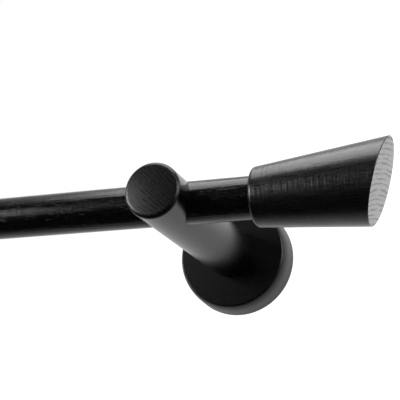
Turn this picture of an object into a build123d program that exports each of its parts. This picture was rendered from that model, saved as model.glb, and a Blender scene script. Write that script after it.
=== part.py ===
from build123d import *
import os
from math import cos, radians, sin, tan

# A wooden curtain rod carried by two turned wall brackets and closed at each end by a slanted cone.
# The wall is the plane Y = 0 and +Y points into it. +X runs along the rod, and +Z is up.
# The origin lies on the wall, level with the rod and halfway between the brackets.
# Sizes are in millimetres and degrees.

# Rod: a plain round pole
rod_diameter = 28.0
rod_length = 1000.0
rod_end_chamfer = 1.0

# Bracket: wall disc and arm turned from one piece, bored across for the rod
rod_to_wall = 150.0  # rod axis to the wall
arm_diameter = 37.0
arm_ahead = 32.0  # the rim of the arm's end stands this far in front of the rod's axis
arm_end_crown = 1.2  # the arm's end face swells this much past its rim
arm_end_round = 3.0
base_diameter = 86.0
base_thickness = 22.0
base_draft = 3.0  # the disc's side narrows this much towards the room
base_edge_width = 2.5  # rounded front edge, an oval quarter: across the disc's face
base_edge_depth = 10.0  # and along the disc's side
base_back_chamfer = 0.4
rod_clearance = 0.08  # radial, rod in the arm's bore

# Finial: a cone with a blind socket for the rod's end and a slanted outer face
finial_gap = 57.3  # arm axis to the finial's inner face
finial_inner_diameter = 38.2
finial_flank_angle = 5.6
finial_length = 79.4  # along the cone's axis, from the inner face to the middle of the slanted face
finial_slant = 16.0  # outer face, out of square with the rod, longer at the top
finial_lean = 2.0  # the cone's axis rises this much from the rod's axis
finial_turn = 7.0  # turned on the rod, its long side this much from the top towards the room
finial_inner_round = 3.0
finial_outer_round = 0.5
socket_depth = 30.0
socket_clearance = 0.08  # radial, rod in the socket
socket_end_gap = 0.3  # rod's end to the socket's floor
socket_mouth_chamfer = 0.6

# Wall fixing: a brass insert in the back of each disc and a hanger bolt screwed into it
bolt_diameter = 8.0  # over the wood thread, in the wall
bolt_machine_diameter = 7.2  # pitch diameter of the machine thread, in the bracket
bolt_in_wall = 50.0
bolt_in_bracket = 28.0
bolt_end_chamfer = 1.0
bolt_point_length = 10.0
bolt_point_diameter = 1.0
bolt_hole_clearance = 0.3  # radial, round the bolt past the end of the insert
bolt_hole_end_gap = 2.0
insert_diameter = 12.0
insert_length = 20.0
insert_flange_diameter = 17.0
insert_flange_thickness = 1.5
insert_key_width = 9.0  # across the flats of the hexagonal key recess
insert_key_depth = 4.0
insert_clearance = 0.02  # radial, insert in the wood and bolt in the insert

# Places that follow from the sizes above
finial_x = rod_length / 2 + socket_end_gap - socket_depth
bracket_x = finial_x - finial_gap
rod_axis_y = -rod_to_wall


def turned(points, axis):
    """A solid of revolution from the corners of half its section, drawn in the XY plane."""
    return revolve(make_face(Polyline(*points, close=True)), axis)


def rod():
    """The round pole, chamfered at both ends so that it enters the finials."""
    radius = rod_diameter / 2
    end = rod_length / 2
    section = [
        (-end, 0),
        (-end, radius - rod_end_chamfer),
        (-end + rod_end_chamfer, radius),
        (end - rod_end_chamfer, radius),
        (end, radius - rod_end_chamfer),
        (end, 0),
    ]
    return Pos(0, rod_axis_y, 0) * turned(section, Axis.X)


def insert_shape(clearance):
    """The outside of a threaded insert on the Y axis, its flange level with Y = 0 and its body along -Y."""
    body_radius = insert_diameter / 2 + clearance
    flange_radius = insert_flange_diameter / 2 + clearance
    section = [
        (0, 0),
        (flange_radius, 0),
        (flange_radius, -insert_flange_thickness),
        (body_radius, -insert_flange_thickness),
        (body_radius, -insert_length),
        (0, -insert_length),
    ]
    return turned(section, Axis.Y)


def bolt_hole(radius, depth):
    """A round hole on the Y axis, from the wall face into the bracket."""
    return Rot(90, 0, 0) * Cylinder(radius, depth, align=(Align.CENTER, Align.CENTER, Align.MIN))


def bracket():
    """One bracket on the Y axis: its wall face on Y = 0 and its arm along -Y."""
    arm_radius = arm_diameter / 2
    base_radius = base_diameter / 2
    rim_y = -(rod_to_wall + arm_ahead)
    narrowing = tan(radians(base_draft))
    side_depth = base_thickness - base_back_chamfer
    corner_radius = base_radius - side_depth * narrowing
    flat_radius = corner_radius - base_edge_width
    edge_radius = corner_radius + base_edge_depth * narrowing
    edge_y = base_edge_depth - base_thickness
    outline = Polyline(
        (flat_radius, -base_thickness),
        (arm_radius, -base_thickness),
        (arm_radius, rim_y - arm_end_crown),
        (0, rim_y - arm_end_crown),
        (0, 0),
        (base_radius - base_back_chamfer, 0),
        (base_radius, -base_back_chamfer),
        (edge_radius, edge_y),
    )
    outline += Bezier(
        (edge_radius, edge_y),
        (corner_radius, -base_thickness),
        (flat_radius, -base_thickness),
        weights=[1, cos(radians(45)), 1],
    )
    body = revolve(make_face(outline), Axis.Y)
    dome_radius = (arm_radius**2 + arm_end_crown**2) / (2 * arm_end_crown)
    dome = Pos(0, rim_y - arm_end_crown + dome_radius, 0) * Sphere(dome_radius)
    body -= Pos(0, rim_y, 0) * Cylinder(arm_diameter, arm_diameter, rotation=(90, 0, 0)) - dome
    body = fillet(body.edges().group_by(Axis.Y)[0], arm_end_round)
    rod_bore = Cylinder(rod_diameter / 2 + rod_clearance, 2 * arm_diameter, rotation=(0, 90, 0))
    body -= Pos(0, rod_axis_y, 0) * rod_bore
    body -= insert_shape(insert_clearance)
    body -= bolt_hole(bolt_diameter / 2 + bolt_hole_clearance, bolt_in_bracket + bolt_hole_end_gap)
    return body


def threaded_insert():
    """The brass insert on the Y axis, with a hexagonal key recess in its mouth."""
    recess = extrude(Plane.XZ * RegularPolygon(insert_key_width / 2, 6, major_radius=False), insert_key_depth)
    thread_radius = bolt_machine_diameter / 2 + insert_clearance
    return insert_shape(0) - recess - bolt_hole(thread_radius, insert_length)


def hanger_bolt():
    """The hanger bolt on the Y axis: its machine end inside the bracket, its pointed end in the wall."""
    machine_radius = bolt_machine_diameter / 2
    wall_radius = bolt_diameter / 2
    section = [
        (0, -bolt_in_bracket),
        (machine_radius - bolt_end_chamfer, -bolt_in_bracket),
        (machine_radius, -bolt_in_bracket + bolt_end_chamfer),
        (machine_radius, 0),
        (wall_radius, 0),
        (wall_radius, bolt_in_wall - bolt_point_length),
        (bolt_point_diameter / 2, bolt_in_wall),
        (0, bolt_in_wall),
    ]
    return turned(section, Axis.Y)


def finial():
    """The right-hand finial on the X axis: its socket's mouth at the origin and its length along +X."""
    growth = tan(radians(finial_flank_angle))
    inner_radius = finial_inner_diameter / 2
    overrun = finial_inner_diameter
    blank = Cone(
        inner_radius - overrun * growth,
        inner_radius + (finial_length + overrun) * growth,
        finial_length + 2 * overrun,
        align=(Align.CENTER, Align.CENTER, Align.MIN),
    )
    blank = Rot(0, 90 - finial_lean, 0) * Pos(0, 0, -overrun) * blank
    lean = radians(finial_lean)
    slant = radians(finial_slant)
    outer_middle = (finial_length * cos(lean), 0, finial_length * sin(lean))
    outer_plane = Plane(origin=outer_middle, x_dir=(0, 1, 0), z_dir=(cos(slant), 0, -sin(slant)))
    blank = split(blank, bisect_by=Plane.YZ, keep=Keep.TOP)
    blank = split(blank, bisect_by=outer_plane, keep=Keep.BOTTOM)
    blank = fillet(blank.edges().sort_by(Axis.X)[0], finial_inner_round)
    blank = fillet(blank.edges().sort_by(Axis.X)[-1], finial_outer_round)
    blank = Rot(finial_turn, 0, 0) * blank
    socket_radius = rod_diameter / 2 + socket_clearance
    socket_section = [
        (0, 0),
        (0, socket_radius + socket_mouth_chamfer),
        (socket_mouth_chamfer, socket_radius),
        (socket_depth, socket_radius),
        (socket_depth, 0),
    ]
    return blank - turned(socket_section, Axis.X)


os.makedirs("parts", exist_ok=True)
export_step(rod(), "parts/rod.step")

right_bracket_pieces = {
    "bracket": bracket(),
    "threaded_insert": threaded_insert(),
    "hanger_bolt": hanger_bolt(),
}
right_finial = Pos(finial_x, rod_axis_y, 0) * finial()
for name, shape in right_bracket_pieces.items():
    export_step(Pos(bracket_x, 0, 0) * shape, f"parts/{name}_right.step")
    export_step(Pos(-bracket_x, 0, 0) * mirror(shape, about=Plane.YZ), f"parts/{name}_left.step")
export_step(right_finial, "parts/finial_right.step")
export_step(mirror(right_finial, about=Plane.YZ), "parts/finial_left.step")
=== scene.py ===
from math import ceil, copysign, cos, pi, radians, sin

import bpy
from mathutils import Matrix, Vector


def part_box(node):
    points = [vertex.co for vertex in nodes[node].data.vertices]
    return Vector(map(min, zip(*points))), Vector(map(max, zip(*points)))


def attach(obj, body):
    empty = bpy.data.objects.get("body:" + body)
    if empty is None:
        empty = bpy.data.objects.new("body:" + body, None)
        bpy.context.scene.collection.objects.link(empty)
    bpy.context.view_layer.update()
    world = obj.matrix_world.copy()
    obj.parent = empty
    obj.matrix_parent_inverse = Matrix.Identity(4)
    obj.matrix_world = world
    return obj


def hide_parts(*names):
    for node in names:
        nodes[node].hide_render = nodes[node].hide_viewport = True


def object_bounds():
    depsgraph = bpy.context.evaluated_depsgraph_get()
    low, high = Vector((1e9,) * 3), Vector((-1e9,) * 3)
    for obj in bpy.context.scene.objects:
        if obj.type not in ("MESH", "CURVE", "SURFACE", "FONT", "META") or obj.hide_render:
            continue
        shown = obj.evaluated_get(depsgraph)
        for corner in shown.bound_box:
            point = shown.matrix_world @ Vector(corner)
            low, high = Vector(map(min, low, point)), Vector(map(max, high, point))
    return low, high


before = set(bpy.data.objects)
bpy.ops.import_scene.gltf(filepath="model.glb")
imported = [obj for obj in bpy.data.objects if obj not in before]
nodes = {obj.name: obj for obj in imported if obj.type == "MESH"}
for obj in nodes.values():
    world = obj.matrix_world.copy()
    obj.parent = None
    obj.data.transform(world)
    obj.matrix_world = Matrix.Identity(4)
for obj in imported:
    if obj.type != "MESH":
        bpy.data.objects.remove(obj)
cad_low, cad_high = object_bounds()


# Hanger bolts
# Each is a headless steel bolt. Its coarse wood thread goes into the wall and its fine machine thread
# into the bracket. Both threads are rolled into a plain blank, which is then zinc plated.
def add_node(tree, kind, inputs=None, **settings):
    """A node of a material, group or world, with its settings, and its inputs linked or set."""
    made = tree.nodes.new(kind)
    for name, value in settings.items():
        setattr(made, name, value)
    for socket, value in (inputs or {}).items():
        if isinstance(value, bpy.types.NodeSocket):
            tree.links.new(value, made.inputs[socket])
        else:
            made.inputs[socket].default_value = value
    return made


def ramp(tree, value, low, high, to_low=0.0, to_high=1.0, smooth=False):
    """A value carried over from one range to another, and held past the ends of the range."""
    limits = {"From Min": low, "From Max": high, "To Min": to_low, "To Max": to_high}
    made = add_node(
        tree,
        "ShaderNodeMapRange",
        {"Value": value, **limits},
        interpolation_type="SMOOTHSTEP" if smooth else "LINEAR",
    )
    return made.outputs["Result"]


def start_material(name):
    """A new material with its node tree, its shader and the place of each point on the piece."""
    material = bpy.data.materials.new(name)
    material.use_nodes = True
    tree = material.node_tree
    place = add_node(tree, "ShaderNodeTexCoord").outputs["Object"]
    return material, tree, tree.nodes["Principled BSDF"], place


def mottled_metal_group():
    """The cloudy tarnish of bare metal, duller where it is lighter."""
    group = bpy.data.node_groups.new("mottled_metal", "ShaderNodeTree")
    group.interface.new_socket(name="Position", in_out="INPUT", socket_type="NodeSocketVector")
    for name in ("Cloud Scale", "Cloud Detail", "Least Roughness", "Most Roughness"):
        group.interface.new_socket(name=name, in_out="INPUT", socket_type="NodeSocketFloat")
    for name in ("Dark", "Light"):
        group.interface.new_socket(name=name, in_out="INPUT", socket_type="NodeSocketColor")
    group.interface.new_socket(name="Colour", in_out="OUTPUT", socket_type="NodeSocketColor")
    group.interface.new_socket(name="Roughness", in_out="OUTPUT", socket_type="NodeSocketFloat")
    given = group.nodes.new("NodeGroupInput").outputs
    cloud = add_node(
        group,
        "ShaderNodeTexNoise",
        {"Vector": given["Position"], "Scale": given["Cloud Scale"], "Detail": given["Cloud Detail"]},
    ).outputs["Fac"]
    tint = add_node(
        group, "ShaderNodeMixRGB", {"Fac": cloud, "Color1": given["Dark"], "Color2": given["Light"]}
    )
    dulling = ramp(group, cloud, 0.0, 1.0, given["Least Roughness"], given["Most Roughness"])
    leave = group.nodes.new("NodeGroupOutput").inputs
    group.links.new(tint.outputs["Color"], leave["Colour"])
    group.links.new(dulling, leave["Roughness"])
    return group


mottled_metal = mottled_metal_group()


def metal_material(name, looks):
    """Bare mottled metal, with its node tree, its shader and the place of each point on the piece."""
    material, tree, shader, place = start_material(name)
    mottle = add_node(tree, "ShaderNodeGroup", node_tree=mottled_metal)
    tree.links.new(place, mottle.inputs["Position"])
    for socket, value in looks.items():
        mottle.inputs[socket].default_value = value
    shader.inputs["Metallic"].default_value = 1
    tree.links.new(mottle.outputs["Colour"], shader.inputs["Base Color"])
    tree.links.new(mottle.outputs["Roughness"], shader.inputs["Roughness"])
    return material, tree, shader, place


def rolled_thread(name, start, end, crest, root, pitch):
    """A threaded length of bolt on the Y axis, with flat ends."""
    turns = ceil((end - start) / pitch) + 2
    steps_in_a_turn = 24
    bpy.ops.object.select_all(action="DESELECT")
    bpy.ops.mesh.primitive_circle_add(vertices=3, radius=crest)
    thread = bpy.context.object
    thread.name = name
    # The three corners become one ridge of the thread: root, crest and root, one pitch wide.
    for corner in thread.data.vertices:
        on_root = corner.co.y < 0
        side = copysign(pitch / 2, corner.co.x) if on_root else 0
        corner.co = (root if on_root else crest, start - pitch / 2 + side, 0)
    # The edge from root to root goes, so that only the ridge's two flanks are turned.
    for edge in thread.data.edges:
        edge.select = all(thread.data.vertices[i].co.x < crest for i in edge.vertices)
    for corner in thread.data.vertices:
        corner.select = corner.co.x < crest
    bpy.ops.object.mode_set(mode="EDIT")
    bpy.ops.mesh.delete(type="EDGE_FACE")
    bpy.ops.object.mode_set(mode="OBJECT")
    screw = thread.modifiers.new("turns", "SCREW")
    screw.axis = "Y"
    screw.screw_offset = pitch
    screw.iterations = turns
    screw.steps = steps_in_a_turn
    screw.render_steps = steps_in_a_turn
    bpy.ops.object.modifier_apply(modifier=screw.name)
    # Neighbouring ridges meet at their roots, and both ends are cut off square and closed.
    bpy.ops.object.mode_set(mode="EDIT")
    bpy.ops.mesh.select_all(action="SELECT")
    bpy.ops.mesh.remove_doubles(threshold=pitch / 200)
    bpy.ops.mesh.bisect(plane_co=(0, start, 0), plane_no=(0, 1, 0), use_fill=True, clear_inner=True)
    bpy.ops.mesh.select_all(action="SELECT")
    bpy.ops.mesh.bisect(plane_co=(0, end, 0), plane_no=(0, 1, 0), use_fill=True, clear_outer=True)
    bpy.ops.mesh.select_all(action="SELECT")
    bpy.ops.mesh.normals_make_consistent(inside=False)
    bpy.ops.object.mode_set(mode="OBJECT")
    return thread


def narrow_end(thread, end, length, end_radius, crest):
    """Narrows the last stretch of a thread evenly to a smaller radius at its end."""
    for corner in thread.data.vertices:
        share = min(1, abs(corner.co.y - end) / length)
        narrowed = (end_radius + (crest - end_radius) * share) / crest
        corner.co.x *= narrowed
        corner.co.z *= narrowed


bolt_low, bolt_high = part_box("hanger_bolt_right")
bracket_x = (bolt_low.x + bolt_high.x) / 2
sides = {"right": 1, "left": -1}
wood_crest = (bolt_high.z - bolt_low.z) / 2
wood_root = 0.0028
wood_pitch = 0.0036
point_length = 0.010
point_radius = 0.0005
machine_crest = 0.0036
machine_root = 0.0030
machine_pitch = 0.00125
machine_chamfer = 0.001
shank_start = -0.0015
shank_end = 0.008
shank_radius = 0.0035
shank_overlap = 0.0006
shank_facets = 48
crease_angle = radians(30)
steel_looks = {
    "Cloud Scale": 300,
    "Cloud Detail": 3,
    "Dark": (0.50, 0.51, 0.53, 1),
    "Light": (0.66, 0.67, 0.69, 1),
    "Least Roughness": 0.24,
    "Most Roughness": 0.42,
}
steel = metal_material("zinc_plated_steel", steel_looks)[0]

machine_end = rolled_thread(
    "machine_end", bolt_low.y, shank_start, crest=machine_crest, root=machine_root, pitch=machine_pitch
)
narrow_end(machine_end, bolt_low.y, machine_chamfer, machine_crest - machine_chamfer, machine_crest)
wood_end = rolled_thread(
    "wood_end", shank_end, bolt_high.y, crest=wood_crest, root=wood_root, pitch=wood_pitch
)
narrow_end(wood_end, bolt_high.y, point_length, point_radius, wood_crest)
bpy.ops.object.select_all(action="DESELECT")
bpy.ops.mesh.primitive_cylinder_add(
    vertices=shank_facets,
    radius=shank_radius,
    depth=shank_end - shank_start + 2 * shank_overlap,
    location=(0, (shank_start + shank_end) / 2, 0),
    rotation=(radians(90), 0, 0),
)
hanger_bolt = bpy.context.object
bpy.ops.object.transform_apply(location=True, rotation=True)
for thread in (machine_end, wood_end):
    union = hanger_bolt.modifiers.new("join", "BOOLEAN")
    union.operation = "UNION"
    union.object = thread
    bpy.ops.object.modifier_apply(modifier=union.name)
    bpy.data.objects.remove(thread)
bpy.ops.object.shade_smooth_by_angle(angle=crease_angle)
hanger_bolt.data.materials.append(steel)
for side, direction in sides.items():
    bolt = hanger_bolt.copy()
    bolt.data = hanger_bolt.data.copy()
    bolt.name = f"threaded_bolt_{side}"
    bolt.data.transform(Matrix.Translation((direction * bracket_x, 0, 0)))
    bpy.context.scene.collection.objects.link(bolt)
    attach(bolt, "wall_brackets")
    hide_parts(f"hanger_bolt_{side}")
bpy.data.objects.remove(hanger_bolt)


def dress(node, material):
    """Gives a carried-over node its material."""
    nodes[node].data.materials.clear()
    nodes[node].data.materials.append(material)


def calculate(tree, operation, first, second=0.0):
    """The result of one sum on two values of a node tree."""
    return add_node(tree, "ShaderNodeMath", {0: first, 1: second}, operation=operation).outputs[0]


brass_looks = {
    "Cloud Scale": 220,
    "Cloud Detail": 4,
    "Dark": (0.55, 0.36, 0.13, 1),
    "Light": (0.78, 0.57, 0.26, 1),
    "Least Roughness": 0.22,
    "Most Roughness": 0.40,
}
ring_depth = 0.00002
brass, tree, shader, place = metal_material("turned_brass", brass_looks)
# Both inserts share this material, so the distance from an insert's axis is taken on either side.
cell = add_node(tree, "ShaderNodeSeparateXYZ", {"Vector": place}).outputs
off_axis = calculate(tree, "SUBTRACT", calculate(tree, "ABSOLUTE", cell["X"]), bracket_x)
from_axis = add_node(tree, "ShaderNodeCombineXYZ", {"X": off_axis, "Z": cell["Z"]})
radius = add_node(tree, "ShaderNodeVectorMath", {0: from_axis.outputs["Vector"]}, operation="LENGTH")
turned_rings = add_node(
    tree,
    "ShaderNodeTexNoise",
    {"W": radius.outputs["Value"], "Scale": 5000, "Detail": 2},
    noise_dimensions="1D",
)
ring_bump = add_node(
    tree, "ShaderNodeBump", {"Height": turned_rings.outputs["Fac"], "Distance": ring_depth, "Strength": 1}
)
tree.links.new(ring_bump.outputs["Normal"], shader.inputs["Normal"])
for side in sides:
    dress(f"threaded_insert_{side}", brass)


# Brackets
# Each is turned from one piece of hardwood, its grain along the arm, then bored across for the rod.
# It is stained black and sealed with a satin lacquer, which is duller on the side of the wall disc.
def stained_wood_group():
    """Black-stained wood, its pith along the X axis: growth rings, fibres, pores and tool marks."""
    bend_stretch = (9, 90, 90)
    fibre_stretch = (38, 850, 850)
    pore_stretch = (160, 1700, 1700)
    chatter_stretch = (70, 70, 70)
    mark_round = 60
    year_spread = 1.4
    pore_tone = 0.4
    pore_depth = 0.22
    shallow_share = 0.6
    black_stain = (0.0014, 0.0013, 0.0013, 1)
    stain_in_pores = (0.0006, 0.0006, 0.0006, 1)
    group = bpy.data.node_groups.new("black_stained_wood", "ShaderNodeTree")
    group.interface.new_socket(name="Position", in_out="INPUT", socket_type="NodeSocketVector")
    for name in ("End Grain", "Ring Spacing", "Ring Length", "Ring Bend", "Ring Dulling"):
        group.interface.new_socket(name=name, in_out="INPUT", socket_type="NodeSocketFloat")
    for name in ("Fibre Depth", "Fibre Dulling", "Side Roughness", "End Roughness"):
        group.interface.new_socket(name=name, in_out="INPUT", socket_type="NodeSocketFloat")
    for name in ("Tool Mark Scale", "Tool Mark Depth"):
        group.interface.new_socket(name=name, in_out="INPUT", socket_type="NodeSocketFloat")
    group.interface.new_socket(name="Colour", in_out="OUTPUT", socket_type="NodeSocketColor")
    for name in ("Roughness", "Height"):
        group.interface.new_socket(name=name, in_out="OUTPUT", socket_type="NodeSocketFloat")
    given = group.nodes.new("NodeGroupInput").outputs

    def stretched(scale):
        return add_node(
            group, "ShaderNodeVectorMath", {0: given["Position"], 1: scale}, operation="MULTIPLY"
        ).outputs[0]

    def noise(place, detail):
        return add_node(
            group, "ShaderNodeTexNoise", {"Vector": place, "Scale": 1, "Detail": detail}
        ).outputs["Fac"]

    def math(operation, first, second=0.0):
        return calculate(group, operation, first, second)

    # Growth rings show on the end grain as broken lines of pores, one line for each year.
    cell = add_node(group, "ShaderNodeSeparateXYZ", {"Vector": given["Position"]}).outputs
    pith_distance = add_node(
        group, "ShaderNodeVectorMath", {0: stretched((0, 1, 1))}, operation="LENGTH"
    ).outputs["Value"]
    round_pith = math("MULTIPLY", math("ARCTAN2", cell["Y"], cell["Z"]), pith_distance)
    good_years = add_node(
        group, "ShaderNodeTexNoise", {"W": pith_distance, "Scale": 90, "Detail": 1}, noise_dimensions="1D"
    ).outputs["Fac"]
    bend = math("MULTIPLY", math("SUBTRACT", noise(stretched(bend_stretch), 2), 0.5), given["Ring Bend"])
    even_years = math("DIVIDE", math("ADD", pith_distance, bend), given["Ring Spacing"])
    years = math("ADD", even_years, math("MULTIPLY", good_years, year_spread))
    season = math("FRACT", years)
    line_begins = ramp(group, season, 0.40, 0.72, smooth=True)
    line_ends = ramp(group, season, 1.0, 0.82, smooth=True)
    pore_line = math("MULTIPLY", line_begins, line_ends)
    line_place = add_node(
        group,
        "ShaderNodeCombineXYZ",
        {"X": even_years, "Y": math("DIVIDE", round_pith, given["Ring Length"])},
    )
    unbroken = ramp(group, noise(line_place.outputs["Vector"], 2), 0.32, 0.60, smooth=True)
    ring = math("MULTIPLY", math("MULTIPLY", pore_line, unbroken), given["End Grain"])

    # Fibres and open pores run lengthwise and show on the side of the wood.
    on_side = math("SUBTRACT", 1.0, given["End Grain"])
    fibre = math("MULTIPLY", math("SUBTRACT", noise(stretched(fibre_stretch), 4), 0.5), on_side)
    open_pores = ramp(group, noise(stretched(pore_stretch), 2), 0.60, 0.72, smooth=True)
    pore = math("MULTIPLY", open_pores, on_side)
    grain = math("SUBTRACT", fibre, math("MULTIPLY", pore, pore_tone))
    relief = math("SUBTRACT", fibre, math("MULTIPLY", pore, pore_depth))

    # Turning or moulding leaves marks round the wood, deeper in some places than in others.
    mark_stretch = add_node(
        group, "ShaderNodeCombineXYZ", {"X": given["Tool Mark Scale"], "Y": mark_round, "Z": mark_round}
    )
    marks = noise(stretched(mark_stretch.outputs["Vector"]), 2)
    chatter = noise(stretched(chatter_stretch), 1)
    shallow = math("MULTIPLY", given["Tool Mark Depth"], shallow_share)
    bite = ramp(group, chatter, 0.35, 0.65, shallow, given["Tool Mark Depth"])
    height = math("ADD", math("MULTIPLY", relief, given["Fibre Depth"]), math("MULTIPLY", marks, bite))

    tint = add_node(group, "ShaderNodeValToRGB", {"Fac": math("ADD", math("SUBTRACT", 0.5, grain), ring)})
    tint.color_ramp.elements[0].color = black_stain
    tint.color_ramp.elements[1].color = stain_in_pores
    side_rough = math("MULTIPLY", given["Side Roughness"], on_side)
    end_rough = math("MULTIPLY", given["End Roughness"], given["End Grain"])
    fibre_dulling = math("MULTIPLY", grain, given["Fibre Dulling"])
    ring_dulling = math("MULTIPLY", ring, given["Ring Dulling"])
    rough = math("ADD", math("ADD", side_rough, end_rough), math("ADD", fibre_dulling, ring_dulling))
    leave = group.nodes.new("NodeGroupOutput").inputs
    group.links.new(tint.outputs["Color"], leave["Colour"])
    group.links.new(rough, leave["Roughness"])
    group.links.new(height, leave["Height"])
    return group


wood_group = stained_wood_group()


def stained_wood(node, pith, turn, looks, gloss, end_face=None, dull_side=None):
    """Dresses a node in stained wood whose pith line goes through a point, turned from the X axis.

    End grain comes in between two depths below an end face, and a dull side between two distances
    from the wall.
    """
    grain_depth = 0.0001
    material, tree, shader, place = start_material(f"{node}_wood")
    centred = add_node(tree, "ShaderNodeVectorMath", {0: place, 1: pith}, operation="SUBTRACT").outputs[0]
    along = add_node(tree, "ShaderNodeMapping", {"Vector": centred, "Rotation": turn}).outputs["Vector"]
    wood = add_node(tree, "ShaderNodeGroup", node_tree=wood_group)
    tree.links.new(along, wood.inputs["Position"])
    for socket, value in looks.items():
        wood.inputs[socket].default_value = value
    if end_face:
        outward, start_depth, full_depth = end_face
        outermost = max(Vector(outward).dot(corner.co) for corner in nodes[node].data.vertices)
        reach = add_node(tree, "ShaderNodeVectorMath", {0: place, 1: outward}, operation="DOT_PRODUCT")
        on_end = ramp(tree, reach.outputs["Value"], outermost - start_depth, outermost - full_depth)
        tree.links.new(on_end, wood.inputs["End Grain"])
    if dull_side:
        start_from_wall, full_from_wall, roughness = dull_side
        to_wall = add_node(tree, "ShaderNodeSeparateXYZ", {"Vector": place}).outputs["Y"]
        duller = ramp(tree, to_wall, -start_from_wall, -full_from_wall, looks["Side Roughness"], roughness)
        tree.links.new(duller, wood.inputs["Side Roughness"])
    bump = add_node(
        tree, "ShaderNodeBump", {"Height": wood.outputs["Height"], "Distance": grain_depth, "Strength": 1}
    )
    tree.links.new(wood.outputs["Colour"], shader.inputs["Base Color"])
    tree.links.new(wood.outputs["Roughness"], shader.inputs["Roughness"])
    tree.links.new(bump.outputs["Normal"], shader.inputs["Normal"])
    shader.inputs["IOR"].default_value = gloss
    dress(node, material)


bracket_pith_away = 0.105
bracket_end_start = 0.0022
bracket_end_full = 0.0012
disc_side_start = 0.0227
disc_side_full = 0.018
disc_side_roughness = 0.45
bracket_looks = {
    "Ring Spacing": 0.0020,
    "Ring Length": 0.0026,
    "Ring Bend": 0.0030,
    "Ring Dulling": -0.118,
    "Fibre Depth": 0.03,
    "Fibre Dulling": 0.07,
    "Side Roughness": 0.26,
    "End Roughness": 0.36,
}
for side, direction in sides.items():
    stained_wood(
        f"bracket_{side}",
        pith=(direction * bracket_x + bracket_pith_away, 0, bracket_pith_away),
        turn=(0, 0, radians(-90)),
        looks=bracket_looks,
        gloss=1.6,
        end_face=((0, -1, 0), bracket_end_start, bracket_end_full),
        dull_side=(disc_side_start, disc_side_full, disc_side_roughness),
    )


# Rod
# A plain round pole, moulded from hardwood with its grain lengthwise, stained and lacquered.
# The cutters leave faint marks across its grain. It is pushed through both arms.
rod_low, rod_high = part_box("rod")
rod_y = (rod_low.y + rod_high.y) / 2
rod_pith = (0, rod_y + 0.03, 0.05)
rod_looks = {
    "Fibre Depth": 1.7,
    "Fibre Dulling": 0.30,
    "Side Roughness": 0.20,
    "Tool Mark Scale": 700,
    "Tool Mark Depth": 0.7,
}
stained_wood("rod", pith=rod_pith, turn=(0, 0, 0), looks=rod_looks, gloss=1.6)


# Finials
# Each is turned from one piece of hardwood, its grain along the rod, and sawn off aslant at its wide end.
# The lathe leaves fine marks round its side. It is pushed over the rod's end.
finial_slant = radians(16)
finial_turn = radians(7)
finial_pith = (0, rod_y + 0.063, -0.208)
finial_end_start = 0.0006
finial_end_full = 0.0002
finial_looks = {
    "Ring Spacing": 0.0030,
    "Ring Length": 0.03,
    "Ring Bend": 0.002,
    "Ring Dulling": 0.18,
    "Fibre Depth": 0.3,
    "Fibre Dulling": 0.28,
    "Side Roughness": 0.30,
    "End Roughness": 0.18,
    "Tool Mark Scale": 640,
    "Tool Mark Depth": 2.0,
}
downward = sin(finial_slant)
for side, direction in sides.items():
    outward = (direction * cos(finial_slant), downward * sin(finial_turn), -downward * cos(finial_turn))
    stained_wood(
        f"finial_{side}",
        pith=finial_pith,
        turn=(0, 0, 0),
        looks=finial_looks,
        gloss=1.75,
        end_face=(outward, finial_end_start, finial_end_full),
    )


# Floor and light
# A plain pale floor lies below the object and turns white in the distance, as the surround is.
# In reflections the surround is bright only behind the object. Soft boxes hang above and beside it.
floor_drop = 0.30
floor_size = 16
bpy.ops.object.select_all(action="DESELECT")
bpy.ops.mesh.primitive_plane_add(size=floor_size, location=(0, 0, cad_low.z - floor_drop))
floor = bpy.context.object
floor.name = "floor"
floor.visible_glossy = False
paint, tree, shader, place = start_material("pale_floor")
shader.inputs["Base Color"].default_value = (0.80, 0.80, 0.80, 1)
shader.inputs["Roughness"].default_value = 0.9
shader.inputs["Specular IOR Level"].default_value = 0
distance = add_node(tree, "ShaderNodeVectorMath", {0: place}, operation="LENGTH").outputs["Value"]
fade = ramp(tree, distance, low=0.8, high=1.8, smooth=True)
seen = add_node(tree, "ShaderNodeLightPath").outputs["Is Camera Ray"]
far_white = calculate(tree, "MULTIPLY", fade, seen)
white = add_node(tree, "ShaderNodeEmission", {"Color": (1, 1, 1, 1), "Strength": 1})
mixed = add_node(
    tree,
    "ShaderNodeMixShader",
    {"Fac": far_white, 1: shader.outputs["BSDF"], 2: white.outputs["Emission"]},
)
tree.links.new(mixed.outputs["Shader"], tree.nodes["Material Output"].inputs["Surface"])
floor.data.materials.append(paint)

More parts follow.
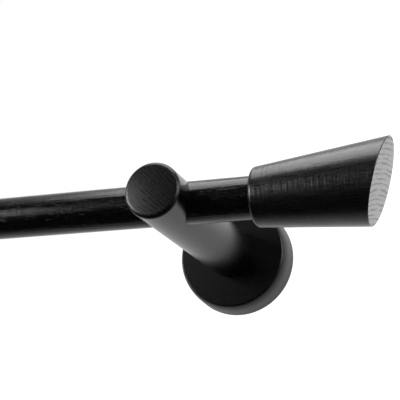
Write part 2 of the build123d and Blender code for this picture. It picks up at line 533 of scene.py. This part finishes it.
world = bpy.data.worlds.new("white_surround")
bpy.context.scene.world = world
world.use_nodes = True
tree = world.node_tree
ray = add_node(tree, "ShaderNodeTexCoord").outputs["Generated"]
ray_parts = add_node(tree, "ShaderNodeSeparateXYZ", {"Vector": ray}).outputs
towards_wall = (0, 0.9, 0.2)
facing = add_node(
    tree, "ShaderNodeVectorMath", {0: ray, 1: towards_wall}, operation="DOT_PRODUCT"
).outputs["Value"]
behind = ramp(tree, facing, low=-0.1, high=0.9, to_low=0.01, to_high=0.97)
straight_behind = ramp(tree, facing, low=0.78, high=0.90, to_low=0.0, to_high=0.3)
back_wall = calculate(tree, "ADD", behind, straight_behind)
right_wall = ramp(tree, ray_parts["X"], low=0.62, high=0.85, to_low=0.0, to_high=0.15, smooth=True)
upper_room = ramp(tree, ray_parts["Z"], low=-0.05, high=0.15, to_low=0.0, to_high=0.035)
walls = calculate(tree, "MAXIMUM", back_wall, right_wall)
room = calculate(tree, "MAXIMUM", walls, upper_room)
seen = add_node(tree, "ShaderNodeLightPath").outputs["Is Camera Ray"]
background = tree.nodes["Background"]
background.inputs["Color"].default_value = (1, 1, 1, 1)
tree.links.new(calculate(tree, "MAXIMUM", room, seen), background.inputs["Strength"])

end_middle = Vector((bracket_x, rod_y, 0))


def softbox(name, direction, distance, width, height, brightness):
    """A soft box that faces the right-hand end from a direction, as bright as its face shows."""
    bpy.ops.object.light_add(type="AREA")
    lamp = bpy.context.object
    lamp.name = name
    lamp.data.shape = "RECTANGLE"
    lamp.data.size = width
    lamp.data.size_y = height
    lamp.data.energy = brightness * pi * width * height
    away = Vector(direction).normalized()
    lamp.location = end_middle + away * distance
    lamp.rotation_euler = away.to_track_quat("Z", "Y").to_euler()
    lamp.visible_camera = False


softbox("top_light", (-0.02, -0.15, 1.0), distance=1.6, width=1.56, height=1.45, brightness=3.1)
softbox("left_light", (-0.857, -0.503, 0.11), distance=2.6, width=2.3, height=1.22, brightness=5.5)
softbox("right_light", (0.88, -0.37, 0.30), distance=2.6, width=3.2, height=1.6, brightness=1.8)


# Camera
# It stands where the photograph was taken: in front of the right-hand end, to the right of its bracket
# and below the rod.
camera_from_arm = Vector((0.2312, -0.5729, -0.1952))
camera_right = Vector((0.94113, 0.33702, 0.02641))
camera_up = Vector((0.07977, -0.29731, 0.95144))
camera_back = Vector((0.32851, -0.89332, -0.30669))
bpy.ops.object.camera_add()
camera = bpy.context.object
camera.data.lens = 90.1
turn = Matrix((camera_right, camera_up, camera_back)).transposed().to_4x4()
camera.matrix_world = Matrix.Translation(end_middle + camera_from_arm) @ turn
bpy.context.scene.camera = camera
bpy.context.scene.view_settings.view_transform = "Standard"
